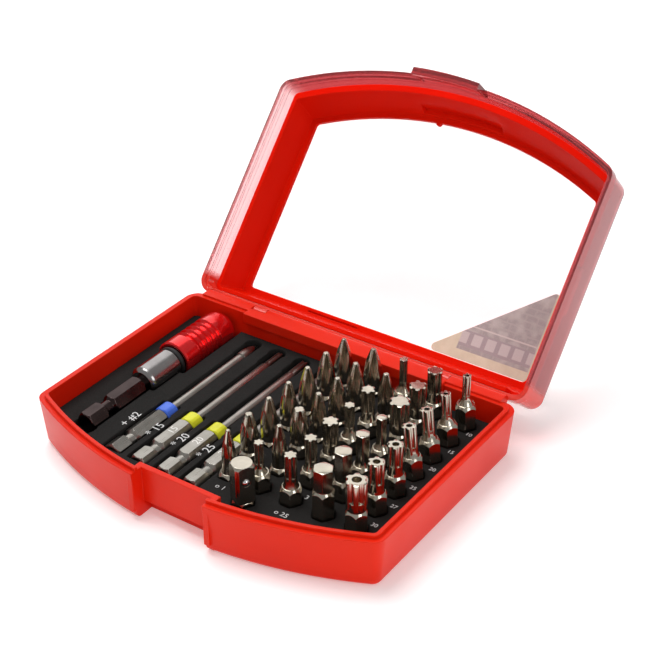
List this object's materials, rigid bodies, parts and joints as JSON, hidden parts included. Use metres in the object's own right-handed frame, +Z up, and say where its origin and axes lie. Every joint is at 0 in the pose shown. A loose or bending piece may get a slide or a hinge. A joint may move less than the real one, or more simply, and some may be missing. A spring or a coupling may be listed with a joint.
{
  "type": "screwdriver bit set",
  "caption": "hinged red case with a clear lid, foam insert, upright short bits, four long bits and a quick-release bit holder",
  "frame": {"origin": "centre of the tray's flat bottom", "axes": "+X along the hinge, to the right seen from the latch; +Y from the latch to the hinge; +Z up"},
  "size_m": [0.1304, 0.1746, 0.0943],
  "materials": {
    "tray_red": "moulded red plastic, glossy",
    "frame_red": "moulded red plastic, glossy",
    "lid_clear": "clear moulded plastic",
    "sticker": "printed film seen from its back",
    "foam_black": "fine-celled black foam with pale size numbers",
    "pin_steel": "plain steel",
    "bit_nickel": "polished nickel plating",
    "ball_steel": "polished steel",
    "long_bit_satin": "satin grey steel",
    "band_blue": "blue plastic sleeve",
    "band_yellow": "yellow plastic sleeve",
    "shank_dark": "dark blued steel",
    "sleeve_steel": "polished steel",
    "magnet": "plain magnet",
    "ring_black": "black retaining ring",
    "collar_red": "deep red anodised aluminium"
  },
  "bodies": {
    "base": {"base_tray": "tray_red", "hinge_pin_left": "pin_steel", "hinge_pin_right": "pin_steel", "foam_insert": "foam_black"},
    "lid": {"lid_shell": "lid_clear", "lid_frame": "frame_red", "label_sticker": "sticker"},
    "holder": {"holder_shank": "shank_dark", "holder_sleeve": "sleeve_steel", "holder_magnet": "magnet", "holder_ring": "ring_black"},
    "collar": {"holder_collar": "collar_red"},
    "adapter": {"bit_b0_square": "bit_nickel", "bit_b0_ball": "ball_steel"},
    "bit_a1": {"bit_a1_cross": "bit_nickel"},
    "bit_a2": {"bit_a2_cross": "bit_nickel"},
    "bit_a3": {"bit_a3_cross": "bit_nickel"},
    "bit_a4": {"bit_a4_cross": "bit_nickel"},
    "bit_a5": {"bit_a5_cross": "bit_nickel"},
    "bit_a6": {"bit_a6_cross": "bit_nickel"},
    "bit_a7": {"bit_a7_cross": "bit_nickel"},
    "bit_b1": {"bit_b1_star": "bit_nickel"},
    "bit_b2": {"bit_b2_cross": "bit_nickel"},
    "bit_b3": {"bit_b3_cross": "bit_nickel"},
    "bit_b4": {"bit_b4_cross": "bit_nickel"},
    "bit_b5": {"bit_b5_cross": "bit_nickel"},
    "bit_b6": {"bit_b6_cross": "bit_nickel"},
    "bit_b7": {"bit_b7_cross": "bit_nickel"},
    "bit_c1": {"bit_c1_star": "bit_nickel"},
    "bit_c2": {"bit_c2_star": "bit_nickel"},
    "bit_c3": {"bit_c3_star": "bit_nickel"},
    "bit_c4": {"bit_c4_star": "bit_nickel"},
    "bit_c5": {"bit_c5_star": "bit_nickel"},
    "bit_c6": {"bit_c6_cross": "bit_nickel"},
    "bit_c7": {"bit_c7_star": "bit_nickel"},
    "bit_d1": {"bit_d1_hex": "bit_nickel"},
    "bit_d2": {"bit_d2_hex": "bit_nickel"},
    "bit_d3": {"bit_d3_hex": "bit_nickel"},
    "bit_d4": {"bit_d4_hex": "bit_nickel"},
    "bit_d5": {"bit_d5_star": "bit_nickel"},
    "bit_d6": {"bit_d6_star": "bit_nickel"},
    "bit_d7": {"bit_d7_star": "bit_nickel"},
    "bit_e1": {"bit_e1_starhole": "bit_nickel"},
    "bit_e2": {"bit_e2_starhole": "bit_nickel"},
    "bit_e3": {"bit_e3_starhole": "bit_nickel"},
    "bit_e4": {"bit_e4_starhole": "bit_nickel"},
    "bit_e5": {"bit_e5_starhole": "bit_nickel"},
    "bit_e6": {"bit_e6_starhole": "bit_nickel"},
    "bit_e7": {"bit_e7_starhole": "bit_nickel"},
    "long_bit_1": {"long_bit_1_cross": "long_bit_satin", "long_bit_1_band": "band_blue"},
    "long_bit_2": {"long_bit_2_star": "long_bit_satin", "long_bit_2_band": "band_yellow"},
    "long_bit_3": {"long_bit_3_star": "long_bit_satin", "long_bit_3_band": "band_yellow"},
    "long_bit_4": {"long_bit_4_star": "long_bit_satin", "long_bit_4_band": "band_yellow"}
  },
  "joints": [
    {"name": "collar_slide", "type": "slide", "parent": "holder", "child": "collar", "axis": [0, -1, 0], "range_m": [0, 0.002]},
    {"name": "holder_lift", "type": "slide", "parent": "base", "child": "holder", "axis": [0, 0, 1], "range_m": [0, 0.03]},
    {"name": "lid_hinge", "type": "hinge", "parent": "base", "child": "lid", "pos_m": [0, 0.0482, 0.01735], "axis": [-1, 0, 0], "range_deg": [-131.9, 0]},
    {"name": "pull_a1", "type": "slide", "parent": "base", "child": "bit_a1", "axis": [0, 0, 1], "range_m": [0, 0.03]},
    {"name": "pull_a2", "type": "slide", "parent": "base", "child": "bit_a2", "axis": [0, 0, 1], "range_m": [0, 0.03]},
    {"name": "pull_a3", "type": "slide", "parent": "base", "child": "bit_a3", "axis": [0, 0, 1], "range_m": [0, 0.03]},
    {"name": "pull_a4", "type": "slide", "parent": "base", "child": "bit_a4", "axis": [0, 0, 1], "range_m": [0, 0.03]},
    {"name": "pull_a5", "type": "slide", "parent": "base", "child": "bit_a5", "axis": [0, 0, 1], "range_m": [0, 0.03]},
    {"name": "pull_a6", "type": "slide", "parent": "base", "child": "bit_a6", "axis": [0, 0, 1], "range_m": [0, 0.03]},
    {"name": "pull_a7", "type": "slide", "parent": "base", "child": "bit_a7", "axis": [0, 0, 1], "range_m": [0, 0.03]},
    {"name": "pull_b1", "type": "slide", "parent": "base", "child": "bit_b1", "axis": [0, 0, 1], "range_m": [0, 0.03]},
    {"name": "pull_b2", "type": "slide", "parent": "base", "child": "bit_b2", "axis": [0, 0, 1], "range_m": [0, 0.03]},
    {"name": "pull_b3", "type": "slide", "parent": "base", "child": "bit_b3", "axis": [0, 0, 1], "range_m": [0, 0.03]},
    {"name": "pull_b4", "type": "slide", "parent": "base", "child": "bit_b4", "axis": [0, 0, 1], "range_m": [0, 0.03]},
    {"name": "pull_b5", "type": "slide", "parent": "base", "child": "bit_b5", "axis": [0, 0, 1], "range_m": [0, 0.03]},
    {"name": "pull_b6", "type": "slide", "parent": "base", "child": "bit_b6", "axis": [0, 0, 1], "range_m": [0, 0.03]},
    {"name": "pull_b7", "type": "slide", "parent": "base", "child": "bit_b7", "axis": [0, 0, 1], "range_m": [0, 0.03]},
    {"name": "pull_c1", "type": "slide", "parent": "base", "child": "bit_c1", "axis": [0, 0, 1], "range_m": [0, 0.03]},
    {"name": "pull_c2", "type": "slide", "parent": "base", "child": "bit_c2", "axis": [0, 0, 1], "range_m": [0, 0.03]},
    {"name": "pull_c3", "type": "slide", "parent": "base", "child": "bit_c3", "axis": [0, 0, 1], "range_m": [0, 0.03]},
    {"name": "pull_c4", "type": "slide", "parent": "base", "child": "bit_c4", "axis": [0, 0, 1], "range_m": [0, 0.03]},
    {"name": "pull_c5", "type": "slide", "parent": "base", "child": "bit_c5", "axis": [0, 0, 1], "range_m": [0, 0.03]},
    {"name": "pull_c6", "type": "slide", "parent": "base", "child": "bit_c6", "axis": [0, 0, 1], "range_m": [0, 0.03]},
    {"name": "pull_c7", "type": "slide", "parent": "base", "child": "bit_c7", "axis": [0, 0, 1], "range_m": [0, 0.03]},
    {"name": "pull_d1", "type": "slide", "parent": "base", "child": "bit_d1", "axis": [0, 0, 1], "range_m": [0, 0.03]},
    {"name": "pull_d2", "type": "slide", "parent": "base", "child": "bit_d2", "axis": [0, 0, 1], "range_m": [0, 0.03]},
    {"name": "pull_d3", "type": "slide", "parent": "base", "child": "bit_d3", "axis": [0, 0, 1], "range_m": [0, 0.03]},
    {"name": "pull_d4", "type": "slide", "parent": "base", "child": "bit_d4", "axis": [0, 0, 1], "range_m": [0, 0.03]},
    {"name": "pull_d5", "type": "slide", "parent": "base", "child": "bit_d5", "axis": [0, 0, 1], "range_m": [0, 0.03]},
    {"name": "pull_d6", "type": "slide", "parent": "base", "child": "bit_d6", "axis": [0, 0, 1], "range_m": [0, 0.03]},
    {"name": "pull_d7", "type": "slide", "parent": "base", "child": "bit_d7", "axis": [0, 0, 1], "range_m": [0, 0.03]},
    {"name": "pull_e1", "type": "slide", "parent": "base", "child": "bit_e1", "axis": [0, 0, 1], "range_m": [0, 0.03]},
    {"name": "pull_e2", "type": "slide", "parent": "base", "child": "bit_e2", "axis": [0, 0, 1], "range_m": [0, 0.03]},
    {"name": "pull_e3", "type": "slide", "parent": "base", "child": "bit_e3", "axis": [0, 0, 1], "range_m": [0, 0.03]},
    {"name": "pull_e4", "type": "slide", "parent": "base", "child": "bit_e4", "axis": [-0.1045, 0, 0.9945], "range_m": [0, 0.03]},
    {"name": "pull_e5", "type": "slide", "parent": "base", "child": "bit_e5", "axis": [-0.1132, 0, 0.9936], "range_m": [0, 0.03]},
    {"name": "pull_e6", "type": "slide", "parent": "base", "child": "bit_e6", "axis": [-0.0872, 0, 0.9962], "range_m": [0, 0.03]},
    {"name": "pull_e7", "type": "slide", "parent": "base", "child": "bit_e7", "axis": [0, 0, 1], "range_m": [0, 0.03]},
    {"name": "pull_adapter", "type": "slide", "parent": "base", "child": "adapter", "axis": [0, 0, 1], "range_m": [0, 0.03]},
    {"name": "pull_long_1", "type": "slide", "parent": "base", "child": "long_bit_1", "axis": [0, 0, 1], "range_m": [0, 0.03]},
    {"name": "pull_long_2", "type": "slide", "parent": "base", "child": "long_bit_2", "axis": [0, 0, 1], "range_m": [0, 0.03]},
    {"name": "pull_long_3", "type": "slide", "parent": "base", "child": "long_bit_3", "axis": [0, 0, 1], "range_m": [0, 0.03]},
    {"name": "pull_long_4", "type": "slide", "parent": "base", "child": "long_bit_4", "axis": [0, 0, 1], "range_m": [0, 0.03]}
  ]
}
